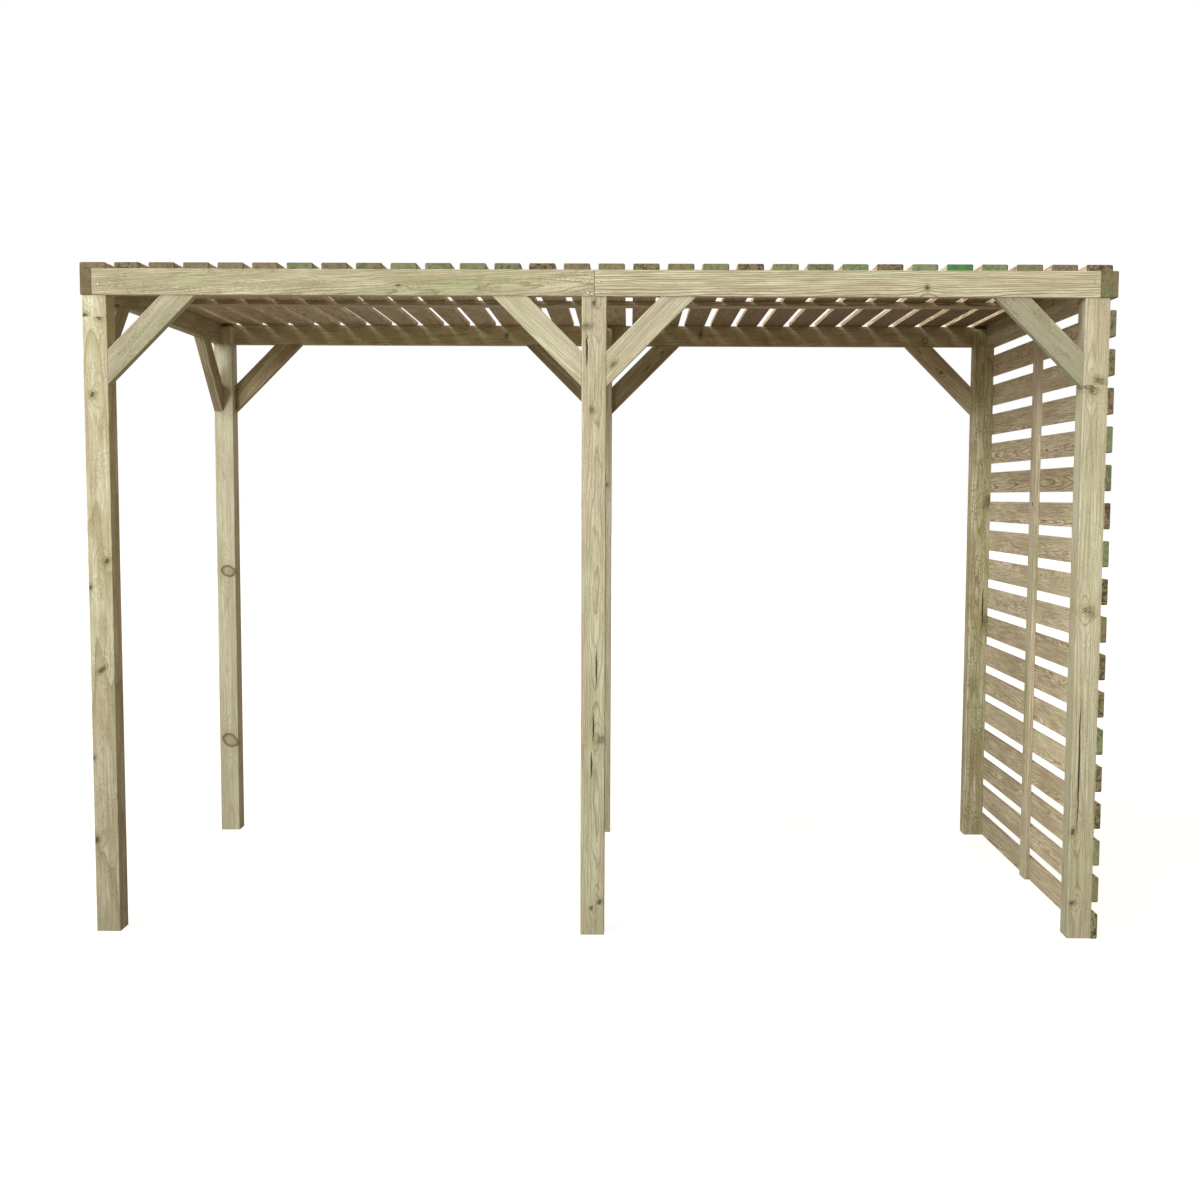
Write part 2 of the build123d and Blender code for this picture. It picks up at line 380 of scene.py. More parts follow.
def softwood(name, early, late, pink, green, dull, end, green_end, dark_end, low_shade, sharp):
    """Softwood: growth rings, knots, splits, treatment and edge wear over each board's own look, with
    painted shade low down and in the splits and a painted highlight on the arrises. A mark is laid
    over the colour below it as mark x strength of the new colour and the rest of the old one. The
    sawn ends have colours of their own."""
    wood = bpy.data.materials.new(name)
    tree = blank_tree(wood)
    read = {label: add(tree, "Attribute", attribute_name=label) for label in wood_marks}
    log = read["log"].outputs["Vector"]
    point = add(tree, "TexCoord").outputs["Object"]

    def three(label):
        """The three numbers of one of the board's own attributes."""
        return add(tree, "SeparateXYZ", {0: read[label].outputs["Vector"]}).outputs

    def over(colour, mark, strength, top):
        """The colour with a painted one laid over it where the mark is."""
        return mix(tree, times(tree, mark, strength), colour, paint(*top))

    tone, greened, brown_and_shade = three("look")
    contrast, ring_width, wander = three("grain")
    dulled, zoned, roughened = three("face")
    cut, arris, knot_size = three("place")
    end_green, end_dark, end_vivid = three("ends")
    nearest_branch, alive = read["knot"].outputs["Vector"], read["knot"].outputs["Alpha"]
    knot = placed(tree, branch, {"From Branch": nearest_branch, "Live": alive, "Size": knot_size})
    ring = placed(tree, rings, {"Log": log, "Bulge": knot["Bulge"], "Ring Width": ring_width,
                                "Wander": wander}, Sharp=sharp)
    crack = placed(tree, drying, {"From Split": read["split"].outputs["Vector"]}, Width=0.0042)
    stain = placed(tree, tint, {"Log": log, "Point": point})
    edge = placed(tree, wear, {"Arris": arris, "Log": log})
    # the planed face: early and late wood, pink and green streaks, patches and specks
    colour = mix(tree, ring["Season"], paint(*early), paint(*pink))
    colour = over(colour, stain["Dull"], dulled, dull)
    colour = over(colour, stain["Zone"], zoned, dull)
    colour = over(colour, stain["Green"], greened, green)
    colour = over(colour, ring["Streak"], scaled(tree, contrast, 0.40, 0.14), late)
    colour = over(colour, ring["Late Wood"], contrast, late)
    colour = over(colour, ring["Fibre"], 0.22, late)
    colour = over(colour, stain["Speck"], scaled(tree, roughened, 0.75, 0.08), late)
    # the look's brown, which on the roof slats' undersides is painted shade
    brown = mix(tree, brown_and_shade, (1, 1, 1, 1), (0.58, 0.45, 0.34, 1))
    colour = mix(tree, 1.0, colour, brown, "MULTIPLY")
    # painted shade: the wood darker towards the ground
    low_shading = times(tree, stain["Low Shade"], low_shade)
    colour = mix(tree, low_shading, colour, mix(tree, 1.0, colour, (0.5, 0.5, 0.44, 1), "MULTIPLY"))
    colour = over(colour, knot["Shade"], 0.34, (146, 134, 90))
    colour = over(colour, knot["Strokes"], 0.80, (92, 84, 48))
    colour = over(colour, knot["Rim"], 0.85, (98, 88, 50))
    colour = over(colour, knot["Heart"], 0.88, (66, 68, 54))
    # painted highlight, with some wear: the arris a little paler
    colour = over(colour, edge["Worn"], 0.25, early)
    colour = over(colour, edge["Nick"], scaled(tree, roughened, 0.5, 0.30), (92, 76, 44))
    # the sawn ends: rings cut across, dark heartwood or green sapwood, slanted vivid green strokes
    blotch = step(tree, noise(tree, point, 70.0, 4.0, 0.72), 0.42, 0.60)
    sapwood = step(tree, scaled(tree, blotch, 0.45, end_green), 0.3, 1.3)
    ending = mix(tree, sapwood, paint(*end), paint(*green_end))
    stroke = {"Vector": point, "Rotation": (0, 0.65, 0), "Scale": (0.007, 0.03, 0.045)}
    slanted = add(tree, "Mapping", stroke, vector_type="TEXTURE").outputs[0]
    brushed = scaled(tree, end_vivid, 0.8, noise(tree, slanted, 1.0, 1.0))
    ending = over(ending, step(tree, brushed, 0.70, 0.80), 0.85, (58, 148, 76))
    ending = over(ending, ring["Late Wood"], 0.65, dark_end)
    blotch = sums(tree, "MAXIMUM", blotch, 0.2)
    ending = over(ending, blotch, scaled(tree, end_dark, 0.60, 0.42), dark_end)
    colour = mix(tree, cut, colour, ending)
    # each board's tone; on some posts and on the roof slats it carries painted light and shade
    brightness = sums(tree, "ADD", 1.0, tone)
    brighter = {0: colour, "Scale": brightness}
    colour = add(tree, "VectorMath", brighter, operation="SCALE").outputs[0]
    # painted shade: the split's gap dark
    colour = over(colour, crack["Split"], 0.95, (54, 42, 24))
    relief = scaled(tree, ring["Late Wood"], 0.4, times(tree, ring["Fibre"], 0.5))
    relief = scaled(tree, stain["Speck"], -0.35, relief)
    relief = scaled(tree, crack["Split"], -3.0, scaled(tree, edge["Nick"], -1.5, relief))
    bump = add(tree, "Bump", {"Strength": 0.5, "Distance": 0.0008, "Height": relief}).outputs[0]
    rough = scaled(tree, ring["Late Wood"], -0.12, 0.84)
    rough = scaled(tree, edge["Worn"], -0.15, rough)
    surface = add(tree, "BsdfPrincipled", {"Base Color": colour, "Roughness": rough,
                                           "Normal": bump, "Specular IOR Level": 0.25})
    add(tree, "OutputMaterial", {"Surface": surface.outputs[0]})
    return wood


planed = softwood("planed softwood", early=(222, 220, 187), late=(134, 123, 84),
                  pink=(214, 203, 176), green=(176, 186, 140), dull=(164, 154, 116),
                  end=(146, 130, 96), green_end=(128, 134, 90), dark_end=(92, 80, 50),
                  low_shade=0.58, sharp=2.2)
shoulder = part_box("front_beam_left")[0][2]
dead, live, torn = 0.0, 1.0, -1.0
post_marks = {  # knots: height, across, face (-1 front, 1 back), size, slant, length over width, kind
    "post_front_left": [
        (2.293, -0.034, -1, 0.014, 0.3, 1.3, dead), (2.289, 0.015, -1, 0.016, -0.6, 1.4, dead),
        (2.008, -0.014, -1, 0.015, 0.2, 1.3, dead), (1.398, 0.025, -1, 0.016, 0.5, 1.2, dead),
        (1.302, -0.040, -1, 0.011, 0.0, 1.2, dead), (0.992, -0.004, -1, 0.012, 0.9, 2.4, dead),
        (0.664, -0.042, -1, 0.011, 0.0, 1.3, dead), (0.349, -0.036, -1, 0.013, 0.1, 1.5, dead)],
    "post_front_middle": [
        (2.345, -0.001, -1, 0.009, 0.3, 2.0, dead), (2.262, -0.030, -1, 0.014, 1.5, 1.6, torn),
        (1.959, -0.007, -1, 0.011, 0.0, 1.2, torn), (0.741, 0.027, -1, 0.016, 1.2, 1.5, torn),
        (0.126, 0.027, -1, 0.012, 0.5, 1.6, dead), (0.102, -0.004, -1, 0.010, 0.4, 1.2, dead)],
    "post_front_right": [
        (2.070, 0.014, -1, 0.018, -0.9, 1.4, torn), (2.044, -0.020, -1, 0.022, -1.1, 1.5, torn),
        (1.228, 0.002, -1, 0.021, -1.1, 1.4, torn), (0.405, -0.034, -1, 0.013, 0.2, 1.8, dead),
        (0.135, -0.030, -1, 0.011, 0.9, 1.4, dead)],
    "post_back_left": [
        (1.276, 0.010, -1, 0.025, -1.25, 1.35, live), (0.445, 0.006, -1, 0.027, -1.0, 1.5, live)],
    "post_back_middle": [
        (1.70, 0.02, -1, 0.012, 0.3, 1.2, dead), (0.90, -0.01, 1, 0.015, 0.5, 1.3, live)],
    "post_back_right": [
        (1.90, -0.02, 1, 0.012, 0.2, 1.3, dead), (1.62, 0.026, -1, 0.020, 0.3, 2.2, torn),
        (1.05, 0.030, -1, 0.018, 0.0, 2.4, torn), (0.62, 0.0, 1, 0.016, -0.8, 1.4, live)],
}
post_splits = {  # height, across, through, half length
    "post_front_middle": [(2.176, -0.026, -0.045, 0.062), (1.010, 0.013, -0.045, 0.075),
                          (0.790, 0.003, -0.045, 0.055), (0.645, -0.004, -0.045, 0.055)],
    "post_front_right": [(0.657, -0.018, -0.045, 0.27)],
    "post_back_left": [(1.60, 0.045, 0.010, 0.20)],
    "post_back_right": [(1.12, 0.020, -0.045, 0.10)],
}
post_looks = {  # look, grain and face
    "post_front_left": ((0.14, 0.05, 0.00), (0.32, 4.5, 1.0), (0.65, 1.00, 0.60)),
    "post_front_middle": ((0.04, 0.25, 0.00), (0.50, 4.0, 1.0), (0.25, 0.30, 0.30)),
    "post_front_right": ((0.05, 0.25, 0.00), (0.55, 3.4, 0.30), (0.30, 0.20, 0.35)),
    "post_back_left": ((-0.02, 0.20, 0.00), (0.25, 4.5, 0.8), (0.20, 0.15, 0.15)),
    "post_back_middle": ((0.00, 0.20, 0.05), (0.35, 4.0, 1.0), (0.30, 0.20, 0.30)),
    "post_back_right": ((0.22, 0.45, 0.10), (0.80, 4.5, 1.0), (1.00, 0.60, 1.60)),
}
painted_post_light = {  # painted light: how much darker the left face is painted, as shade, and how much lighter each metre upwards
    "post_front_left": (0, 0.15), "post_front_right": (0.22, 0),
}
notch, post_ease, tongue_ease = 0.038, 0.003, 0.002
for number, (name, marks) in enumerate(post_marks.items()):
    low, high = (np.array(corner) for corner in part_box(name))
    wide = high[0] - low[0]
    middle = (low + high) / 2
    knots = [(z, x, wide / 2 * side, *rest) for z, x, side, *rest in marks]
    # no two posts have the pith in the same place
    heart = (0.012 * math.sin(2.1 * number), 0.018 + 0.010 * math.cos(3.7 * number))
    look, grain, face = post_looks[name]
    same = dict(pith=heart, drift=(0.004 * math.cos(number), 0.003), look=look, grain=grain,
                face=face, ends=(0.3, 0.2, 0), seed=number + 1)
    column = timber((middle[0], middle[1], 0.0), (0, 0, 1), (1, 0, 0), shoulder, wide, wide,
                    post_ease, knots=knots, splits=post_splits.get(name, ()), **same)
    painted_left_shade, fade = painted_post_light.get(name, (0, 0))
    height = column["points"][np.concatenate(column["faces"]), 2]
    # painted light and shade: lighter upwards, and the left face darker
    column["look"][:, 0] += fade * (height - shoulder / 2)
    column["look"][:, 0] -= painted_left_shade * (column["normal"][:, 0] < -0.5)
    outer_x = notch * (("left" in name) - ("right" in name))
    outer_y = notch * (("front" in name) - ("back" in name))
    tongue = timber((middle[0] + outer_x / 2, middle[1] + outer_y / 2, shoulder), (0, 0, 1),
                    (1, 0, 0), high[2] - shoulder, wide - abs(outer_x), wide - abs(outer_y),
                    tongue_ease, **same)
    piece(name, [column, tongue], planed)

# Side rails: planed lengths that lie in the corner posts' notches for the whole depth. Their sawn
# ends show at the front beside the front beam.
board_ease = 0.0025
rail_looks = {  # look, grain and ends
    "side_rail_left": ((-0.10, 0.15, 0.40), (0.6, 5.5, 1.0), (0.0, 0.10, 0.0)),
    "side_rail_right": ((-0.06, 0.15, 0.50), (0.6, 5.0, 1.0), (0.45, 0.35, 0.22)),
}
for number, (name, (look, grain, ends)) in enumerate(rail_looks.items()):
    low, high = (np.array(corner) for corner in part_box(name))
    middle = (low + high) / 2
    rail = timber((middle[0], low[1], middle[2]), (0, 1, 0), (0, 0, 1), high[1] - low[1],
                  high[2] - low[2], high[0] - low[0], board_ease,
                  pith=(-0.05 + 0.09 * number, 0.045), drift=(0.02, -0.004),
                  knots=[(0.62, 0.01, -0.02, 0.009, 0.2, 1.3, dead),
                         (1.31, -0.02, -0.02, 0.008, 0.0, 1.2, dead)],
                  look=look, grain=grain, face=(0.5, 0.2, 0.5), ends=ends, seed=11 + number)
    piece(name, [rail], planed)

# Beams: planed lengths on edge in the posts' notches, two to each side, butted over the middle
# post and screwed to the posts through their faces.
beam_looks = {  # look, grain, face, pith and its drift, knots
    "front_beam_left": (
        (0.09, 0.60, 0.0), (0.75, 5.5, 1.7), (0.45, 0.20, 0.60), (-0.100, -0.030, 0.055),
        [(1.12, -0.012, 0.021, 0.006, 0.0, 2.0, dead)]),
    "front_beam_right": (
        (0.09, 0.05, 0.0), (1.00, 6.5, 0.9), (0.10, 0.10, 0.10), (-0.068, -0.030, 0.008),
        [(1.205, -0.014, 0.021, 0.010, 0.3, 1.2, dead)]),
    "back_beam_left": (
        (0.26, 0.20, 0.38), (0.50, 5.5, 1.0), (0.40, 0.20, 0.50), (0.040, 0.050, 0.010),
        [(1.37, 0.0, 0.021, 0.009, 0.0, 1.3, dead)]),
    "back_beam_right": (
        (0.08, 0.20, 0.45), (0.50, 5.5, 1.0), (0.40, 0.20, 0.50), (-0.060, 0.040, 0.012),
        [(0.47, 0.01, 0.021, 0.010, 0.4, 1.3, dead), (1.55, 0.02, -0.021, 0.012, 0.0, 1.2, live)]),
}
for number, (name, (look, grain, face, heart, knots)) in enumerate(beam_looks.items()):
    low, high = (np.array(corner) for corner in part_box(name))
    middle = (low + high) / 2
    beam = timber((low[0], middle[1], middle[2]), (1, 0, 0), (0, 0, 1), high[0] - low[0],
                  high[2] - low[2], high[1] - low[1], board_ease, pith=heart[:2],
                  drift=(heart[2], 0.004), knots=knots, look=look, grain=grain, face=face,
                  ends=(0.4, 0.3, 0), seed=21 + number)
    piece(name, [beam], planed)

# Knee braces: short planed lengths cut at 45 degrees at both ends, set between a post and the
# underside of a beam or rail, flush with the posts' outer faces; the screws at both their ends are
# not drawn.
brace_looks = {  # which way it rises, look, grain, rough, knots along it
    "front_brace_left": (1, (-0.10, 0.30, 0.0), (0.25, 6.0, 1.0), 0.5, []),
    "front_brace_middle_left": (-1, (0.02, 0.05, 0.0), (0.45, 5.5, 0.6), 0.1, []),
    "front_brace_middle_right": (
        1, (0.00, 0.10, 0.0), (0.45, 6.0, 0.6), 0.2, [(0.075, -0.004, -0.021, 0.009, 0.0, 1.6, torn)]),
    "front_brace_right": (-1, (-0.28, 0.40, 0.0), (0.20, 6.0, 1.0), 0.7, []),
    "back_brace_left": (1, (0.18, 0.0, 0.75), (1.0, 6.5, 0.9), 0.4, []),
    "back_brace_middle_left": (-1, (-0.02, 0.0, 0.6), (0.9, 6.0, 1.0), 0.4, []),
    "back_brace_middle_right": (1, (-0.02, 0.0, 0.55), (0.9, 5.0, 1.0), 0.4, []),
    "back_brace_right": (
        -1, (0.25, 0.10, 0.40), (0.8, 5.5, 1.0), 0.4, [(0.25, 0.0, 0.021, 0.010, 0.5, 1.2, dead)]),
    "side_brace_front": (
        1, (-0.05, 0.0, 0.5), (0.8, 6.0, 1.0), 0.4, [(0.22, 0.01, 0.021, 0.010, 0.5, 1.2, dead)]),
    "side_brace_back": (
        -1, (-0.02, 0.0, 0.40), (0.9, 6.0, 0.8), 0.3, [(0.20, 0.012, -0.021, 0.007, 0.5, 1.2, dead)]),
}
brace_wide = 0.090
for number, (name, (rises, look, grain, rough, knots)) in enumerate(brace_looks.items()):
    low, high = (np.array(corner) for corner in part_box(name))
    level = int(name.startswith("side"))  # the axis that it runs along: 0 across, 1 in depth
    along, across, foot = np.zeros(3), np.zeros(3), (low + high) / 2
    along[level], along[2] = rises, 1
    across[level], across[2] = -rises, 1
    foot[level], foot[2] = low[level] if rises > 0 else high[level], low[2]
    start = foot + across / math.sqrt(2) * brace_wide / 2
    brace = timber(start, along, across, (high[2] - low[2]) * math.sqrt(2), brace_wide,
                   (high - low)[1 - level], board_ease, mitre=(1, 1),
                   pith=(0.02 * math.sin(5 * number), 0.05 * (-1) ** number),
                   drift=(0.05 * math.cos(3 * number), 0.01), knots=knots, look=look, grain=grain,
                   face=(0.2 + 0.4 * rough, 0.1, rough), ends=(0.3, 0.3, 0), seed=31 + number)
    piece(name, [brace], planed)

# Roof purlin and side batten: plain boards laid flat behind the slats, halfway from front to back,
# that keep the slats in line. The slats are screwed to them.
slatted = softwood("slat softwood", early=(220, 208, 176), late=(118, 100, 68),
                   pink=(210, 196, 170), green=(164, 168, 120), dull=(172, 158, 124),
                   end=(152, 134, 102), green_end=(144, 160, 110), dark_end=(76, 64, 38),
                   low_shade=0.60, sharp=2.8)
board_looks = {  # along, across, look
    "roof_purlin": ((1, 0, 0), (0, 1, 0), (-0.05, 0.0, 0.15)),
    "side_batten": ((0, 0, 1), (0, 1, 0), (0.18, 0.90, 0.0)),
}
for name, (along, across, look) in board_looks.items():
    low, high = (np.array(corner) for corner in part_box(name))
    a, b = np.array(along, float), np.array(across, float)
    size = high - low
    length, wide, thick = size @ a, size @ b, size @ np.abs(np.cross(a, b))
    board = timber((low + high - a * length) / 2, along, across, length, wide, thick, board_ease,
                   pith=(0.01, 0.05), drift=(0.006, -0.01), look=look, grain=(0.6, 5.0, 1.2),
                   ends=(0.5, 0.3, 0), seed=len(name),
                   knots=[(0.55, 0.02, 0.01, 0.007, 0, 1.3, dead),
                          (1.62, -0.01, 0.01, 0.009, 0.3, 1.4, dead),
                          (2.05, 0.03, 0.01, 0.008, 0, 1.2, dead)])
    piece(name, [board], slatted)

# Roof slats: thirty planed boards with rounded edges, laid from front to back and screwed down
# into the beams and the purlin. Their sawn ends are brown where a board is from the heart of the
# tree and green where it is from the outside, which takes up the preservative.
end_kinds = {  # green, dark and vivid green
    "b": (0.0, 0.15, 0.0), "d": (0.0, 0.90, 0.0), "o": (0.50, 0.15, 0.0), "k": (0.55, 0.90, 0.0),
    "m": (0.60, 0.55, 0.08), "g": (0.95, 0.15, 0.05), "p": (0.80, 0.0, 0.0), "v": (1.0, 0.1, 0.75),
    "t": (0.90, 0.40, 0.20), "n": (1.0, 1.0, 0.0),
}


def slat(low, high, across, look, lines, rough, kind, seed):
    """One slat in the box from low to high, from front to back: a board sawn beside the pith, with a
    knot or none, bowed by a hair. Its outer long edges are rounded and those on the frame are
    square. lines is how strong its grain is, rough how rough its faces are and kind its ends."""
    low, high = np.array(low), np.array(high)
    a, b = np.array([0.0, 1.0, 0.0]), np.array(across, float)
    size = high - low
    wide, length, thick = size @ np.abs(b), size @ np.abs(a), size @ np.abs(np.cross(a, b))
    dice = np.random.default_rng(seed)
    knots = [(x, dice.uniform(-0.04, 0.04), 0.0, dice.uniform(0.004, 0.009), dice.uniform(-1, 1),
              dice.uniform(1, 1.5), dice.choice([0.0, 0.4]))
             for x in dice.uniform(0.1, length - 0.1, dice.choice([0, 0, 1, 1, 2]))]
    rounded, square = 0.006, 0.0006
    outside = np.cross(a, b).sum() > 0
    ease = (rounded, rounded, square, square) if outside else (square, square, rounded, rounded)
    return timber((low + high - a * length) / 2, a, b, length, wide, thick, ease,
                  bow=dice.uniform(-0.0002, 0.0002),
                  pith=(dice.uniform(-0.05, 0.05), dice.choice([-1, 1]) * dice.uniform(0.025, 0.07)),
                  drift=(dice.uniform(-0.02, 0.02), dice.uniform(-0.03, 0.03)),
                  grain=(lines * dice.uniform(0.7, 1.3), dice.uniform(3.4, 5.0),
                         dice.uniform(0.9, 2.0)),
                  face=(dice.uniform(0.2, 0.7), dice.uniform(0.0, 0.3),
                        rough * dice.uniform(0.5, 1.5)),
                  knots=knots, look=look, ends=end_kinds[kind], seed=seed)


roof_groups = [name for name in sorted(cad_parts) if name.startswith("roof_slats_")]
roof_ends = "bkboobgbmpgpmdbokogdgmgdgvgobd"  # each slat's kind of end, from the left
roof_count = len(roof_ends)
per_group = roof_count // len(roof_groups)
slat_wide, most_trim = 0.096, 0.0015
roof_low, roof_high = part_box(roof_groups[0])[0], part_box(roof_groups[-1])[1]
roof_pitch = (roof_high[0] - roof_low[0] - slat_wide) / (roof_count - 1)
last_unshaded, first_shaded = 14, 19  # the painted shade on the undersides grows from one of these slats to the other
dice = np.random.default_rng(7)
for group, name in enumerate(roof_groups):
    boards = []
    for i in range(per_group * group, per_group * (group + 1)):
        x = roof_low[0] + i * roof_pitch
        trim = dice.uniform(0.0, most_trim, 2)
        look = (0.10 + dice.uniform(-0.06, 0.06), dice.uniform(0.0, 0.15), dice.uniform(0.10, 0.30))
        board = slat((x, roof_low[1] + trim[0], roof_low[2]),
                     (x + slat_wide, roof_high[1] - trim[1], roof_high[2]),
                     (1, 0, 0), look, 0.9, 0.7, roof_ends[i], 100 + i)
        # tone and brown: painted shade on the undersides, darker and browner towards the right of the
        # roof, a painted highlight on the sawn edges that face left (but for the outermost slat's) and
        # darker ends
        brown_and_shade = min(max((i - last_unshaded) / (first_shaded - last_unshaded), 0), 1)
        under = brown_and_shade * (board["normal"][:, 2] < -0.5)
        left = board["normal"][:, 0] < -0.8
        board["look"][:, 0] += 0.60 * left * (i > 0) - 0.30 * under - 0.12 * board["place"][:, 0]
        board["look"][:, 2] += 0.80 * under - 0.15 * left
        boards.append(board)
    piece(name, boards, slatted)

# Side slats: eighteen of the same boards, laid level outside the right posts from the ground up
# to the rail, and screwed to the posts and to the batten. Their sawn ends are darker.
side_groups = ["side_slats_lower", "side_slats_middle", "side_slats_upper"]
side_ends = "nogkktkkokgdtpdkko"  # from the ground up
side_count = len(side_ends)
per_group = side_count // len(side_groups)
side_low, side_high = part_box(side_groups[0])[0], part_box(side_groups[-1])[1]
side_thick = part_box(side_groups[0])[1][0] - side_low[0]
side_pitch = (side_high[2] - side_low[2] - slat_wide) / (side_count - 1)
for group, name in enumerate(side_groups):
    boards = []
    for i in range(per_group * group, per_group * (group + 1)):
        z = side_low[2] + i * side_pitch
        x = side_high[0] - side_thick if i == side_count - 1 else side_low[0]
        trim = dice.uniform(0.0, most_trim, 2)
        look = (0.29 + dice.uniform(-0.05, 0.05), dice.uniform(0.10, 0.35), dice.uniform(0.0, 0.10))
        board = slat((x, side_low[1] + trim[0], z),
                     (x + side_thick, side_high[1] - trim[1], z + slat_wide),
                     (0, 0, 1), look, 0.80, 0.2, side_ends[i], 200 + i)
        board["look"][:, 0] -= 0.42 * board["place"][:, 0]
        boards.append(board)
    piece(name, boards, slatted)

# Screws: zinc-plated, countersunk, driven until their heads lie level with the wood: one or two
# through each end of a beam, two through each slat into every beam, board or post it crosses.
# A dark ring of crushed wood and rust shows round each head, darkened further by painted shade of
# the shallow dish it lies in.


def screws(name, places, outward):
    """The heads of like screws as one closed mesh each: a profile of radius r and height h turned
    about its axis, the corner at the turn t lying at r (cos t p + sin t q) + h outward, with p and
    q square to outward. It dips in the middle, where the bit fits."""
    out = np.array(outward, float)
    p = np.roll(out, 1)
    q = np.cross(out, p)
    profile = [(0.0062, -0.0015), (0.0062, 0.0001), (0.0044, 0.0002),
               (0.0040, 0.0006), (0.0020, 0.0006), (0.0014, -0.0006)]
    radius, height = np.array(profile).T
    around, rows = 12, len(radius)
    turn = np.arange(around) * 2 * np.pi / around
    ring = np.cos(turn)[:, None] * p + np.sin(turn)[:, None] * q
    head = radius[:, None, None] * ring + height[:, None, None] * out
    points = (np.array(places, float)[:, None, None, :] + head).reshape(-1, 3)
    quads, _ = tube_faces(rows, around)
    first = np.arange(len(places))[:, None] * rows * around
    quads = (first[:, :, None] + quads).reshape(-1, 4).tolist()
    lowest, highest = np.arange(around)[::-1], (rows - 1) * around + np.arange(around)
    caps = np.concatenate([first + lowest, first + highest]).tolist()
    mesh = bpy.data.meshes.new(name)
    mesh.from_pydata(points.tolist(), [], quads + caps)
    share = np.tile(np.repeat(radius / radius.max(), around), len(places)).astype(np.float32)
    mesh.attributes.new("radius", "FLOAT", "POINT").data.foreach_set("value", share)
    mesh.polygons.foreach_set("use_smooth", np.arange(len(quads) + len(caps)) < len(quads))
    mesh.materials.append(zinc)
    made = linked(name, mesh)
    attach(made, "root")


zinc = bpy.data.materials.new("zinc plating")
tree = blank_tree(zinc)
radius = add(tree, "Attribute", attribute_name="radius").outputs["Fac"]
point = add(tree, "TexCoord").outputs["Object"]
# crushed wood, darkened partly by its own colour and partly by painted shade of its dish
crushed_and_shaded = step(tree, scaled(tree, noise(tree, point, 700.0), 0.12, radius), 0.72, 0.80)
# painted shade: the dip where the bit fits is dark
recess_shade = inverted(tree, step(tree, radius, 0.24, 0.32))
worn_zinc = mix(tree, noise(tree, point, 300.0, 3.0), paint(206, 202, 188), paint(158, 152, 134))
colour = mix(tree, recess_shade, worn_zinc, paint(70, 66, 58))
colour = mix(tree, crushed_and_shaded, colour, paint(142, 130, 94))
metal = sums(tree, "SUBTRACT", 0.85, times(tree, crushed_and_shaded, 0.85))
finish = {"Base Color": colour, "Metallic": metal, "Roughness": scaled(tree, crushed_and_shaded, 0.4, 0.42)}
surface = add(tree, "BsdfPrincipled", finish)
add(tree, "OutputMaterial", {"Surface": surface.outputs[0]})

beam_low, beam_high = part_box("front_beam_left")
joint_x, right_x, underside = beam_high[0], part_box("front_beam_right")[1][0], beam_low[2]
before, beyond, from_end = 0.0225, 0.0175, 0.024
spots = [  # across, and height above the beams' underside
    (joint_x - before, 0.053), (joint_x - before, 0.012), (joint_x + beyond, 0.050),
    (joint_x + beyond, 0.012), (beam_low[0] + from_end, 0.038), (right_x - from_end, 0.056)]
front_y, back_y = -roof_high[1], roof_high[1]
screws("front_beam_screws", [(x, front_y, underside + z) for x, z in spots], (0, -1, 0))
screws("back_beam_screws", [(x, back_y, underside + z) for x, z in spots], (0, 1, 0))
apart, half_beam = (-0.024, 0.024), 0.021
roof_x = [roof_low[0] + slat_wide / 2 + i * roof_pitch for i in range(roof_count)]
roof_y = (front_y + half_beam, 0.0, back_y - half_beam)
screws("roof_slat_screws", [(x + dx, y, roof_high[2]) for x in roof_x for y in roof_y for dx in apart],
       (0, 0, 1))
post_y = sum(corner[1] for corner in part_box("post_back_left")) / 2
side_y = (-post_y, 0.0, post_y)
side_xz = [(side_high[0] if i == side_count - 1 else side_low[0] + side_thick,
            side_low[2] + slat_wide / 2 + i * side_pitch) for i in range(side_count)]
screws("side_slat_screws", [(x, y, z + dz) for x, z in side_xz for y in side_y for dz in apart],
       (1, 0, 0))

# Floor, sky, lights and camera: a pale floor and sky that the camera sees as white but for the
# shadow, soft lights from low in front, from the upper left, from low on the left and from behind,
# and the camera where the photograph was taken from.


def seen_from_camera(tree):
    """1 where the camera sees the surface, itself or mirrored, and 0 where it only gives light."""
    rays = add(tree, "LightPath").outputs
    seen = sums(tree, "MAXIMUM", rays["Is Camera Ray"], rays["Is Glossy Ray"])
    return sums(tree, "MAXIMUM", seen, rays["Is Transmission Ray"])


far, below = 60, -0.0005
floor_mesh = bpy.data.meshes.new("floor")
floor_mesh.from_pydata([(-far, -far, below), (far, -far, below), (far, far, below), (-far, far, below)],
                       [], [(0, 1, 2, 3)])
floor = linked("floor", floor_mesh)
pale = bpy.data.materials.new("pale floor")
tree = blank_tree(pale)
seen = seen_from_camera(tree)
matt = add(tree, "BsdfDiffuse", {"Color": (0.30, 0.27, 0.225, 1)})
glow = add(tree, "Emission", {"Color": (1, 1, 1, 1), "Strength": times(tree, seen, 0.86)})
both = add(tree, "AddShader", {0: matt.outputs[0], 1: glow.outputs[0]})
add(tree, "OutputMaterial", {"Surface": both.outputs[0]})
floor_mesh.materials.append(pale)

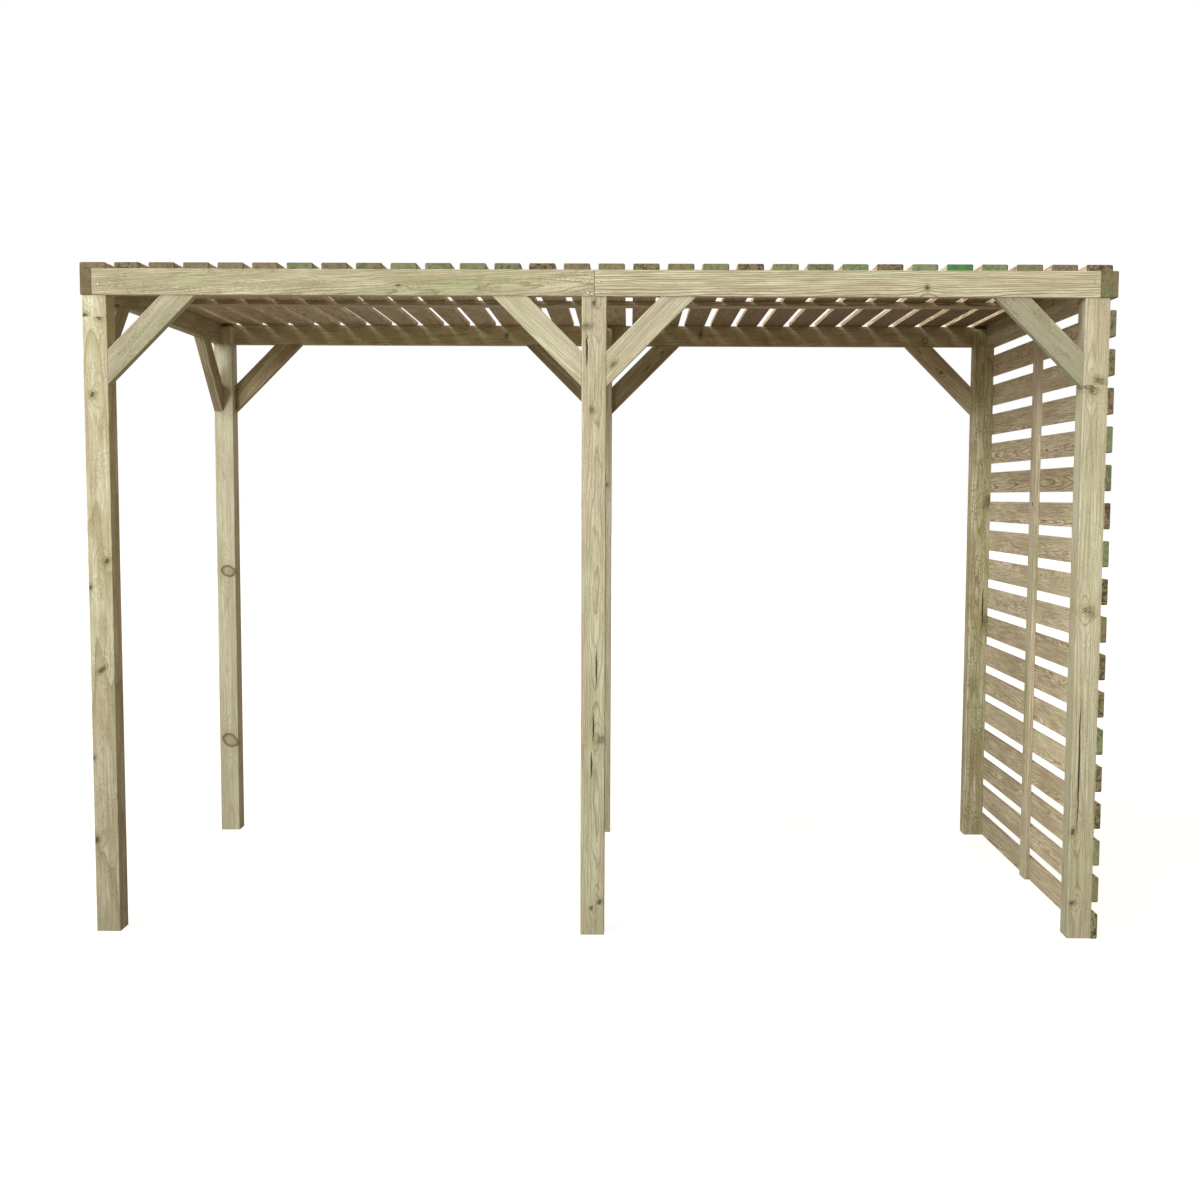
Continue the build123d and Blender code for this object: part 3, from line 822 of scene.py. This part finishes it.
sky = bpy.data.worlds.new("pale sky")
bpy.context.scene.world = sky
tree = blank_tree(sky)
seen = seen_from_camera(tree)
direction = add(tree, "TexCoord").outputs["Generated"]
height = sums(tree, "MAXIMUM", add(tree, "SeparateXYZ", {0: direction}).outputs[2], 0.0)
brightness = scaled(tree, sums(tree, "POWER", height, 2.0), 1.7, 0.84)
warm = {0: (0.305, 0.250, 0.198), "Scale": brightness}
light_of_sky = add(tree, "VectorMath", warm, operation="SCALE").outputs[0]
light_of_sky = mix(tree, seen, light_of_sky, (1, 1, 1, 1))
air = add(tree, "Background", {"Color": light_of_sky, "Strength": 1.0})
add(tree, "OutputWorld", {"Surface": air.outputs[0]})


def soft_light(name, towards, level, spread, tint=(1, 1, 1)):
    """A far lamp in the direction given; on a face square to it, a white renders at the level given."""
    lamp = bpy.data.lights.new(name, "SUN")
    lamp.energy, lamp.angle, lamp.color = math.pi * level, math.radians(spread), tint
    linked(name, lamp).rotation_euler = Vector(towards).to_track_quat("Z", "Y").to_euler()


soft_light("front light", (-0.40, -0.85, 0.20), 0.58, 20, (0.95, 1.0, 1.10))
soft_light("top light", (-0.85, -0.50, 1.0), 0.55, 20, (1.0, 1.0, 1.02))
soft_light("left light", (-1.0, -0.25, 0.13), 0.27, 14, (0.93, 1.0, 1.07))
soft_light("back light", (0.1, 0.9, 0.5), 0.30, 20)

eye = (0.12066, -6.45875, 1.64296)
yaw, tip, roll = 0.0110, 0.0831, 0.0045  # turned left, tipped down and rolled, in radians
photo_wide, focal, centre_x, centre_y = 1200, 1503.4, 612.2, 622.2  # pixels of the photograph
sensor_wide = 36.0
ahead = Vector((-math.sin(yaw), math.cos(yaw), 0))
right = Vector((math.cos(yaw), math.sin(yaw), 0))
plumb = Vector((0, 0, 1))
forward = ahead * math.cos(tip) - plumb * math.sin(tip)
up = plumb * math.cos(tip) + ahead * math.sin(tip)
rolled_right = right * math.cos(roll) + up * math.sin(roll)
rolled_up = up * math.cos(roll) - right * math.sin(roll)
lens = bpy.data.cameras.new("camera")
lens.sensor_fit, lens.sensor_width = "HORIZONTAL", sensor_wide
lens.lens = sensor_wide * focal / photo_wide
lens.shift_x = (photo_wide / 2 - centre_x) / photo_wide
lens.shift_y = (centre_y - photo_wide / 2) / photo_wide
lens.clip_end = 100
camera = linked("camera", lens)
axes = Matrix((rolled_right, rolled_up, -forward)).transposed().to_4x4()
camera.matrix_world = Matrix.Translation(eye) @ axes
bpy.context.scene.camera = camera
bpy.context.scene.view_settings.view_transform = "Standard"

bpy.context.view_layer.update()
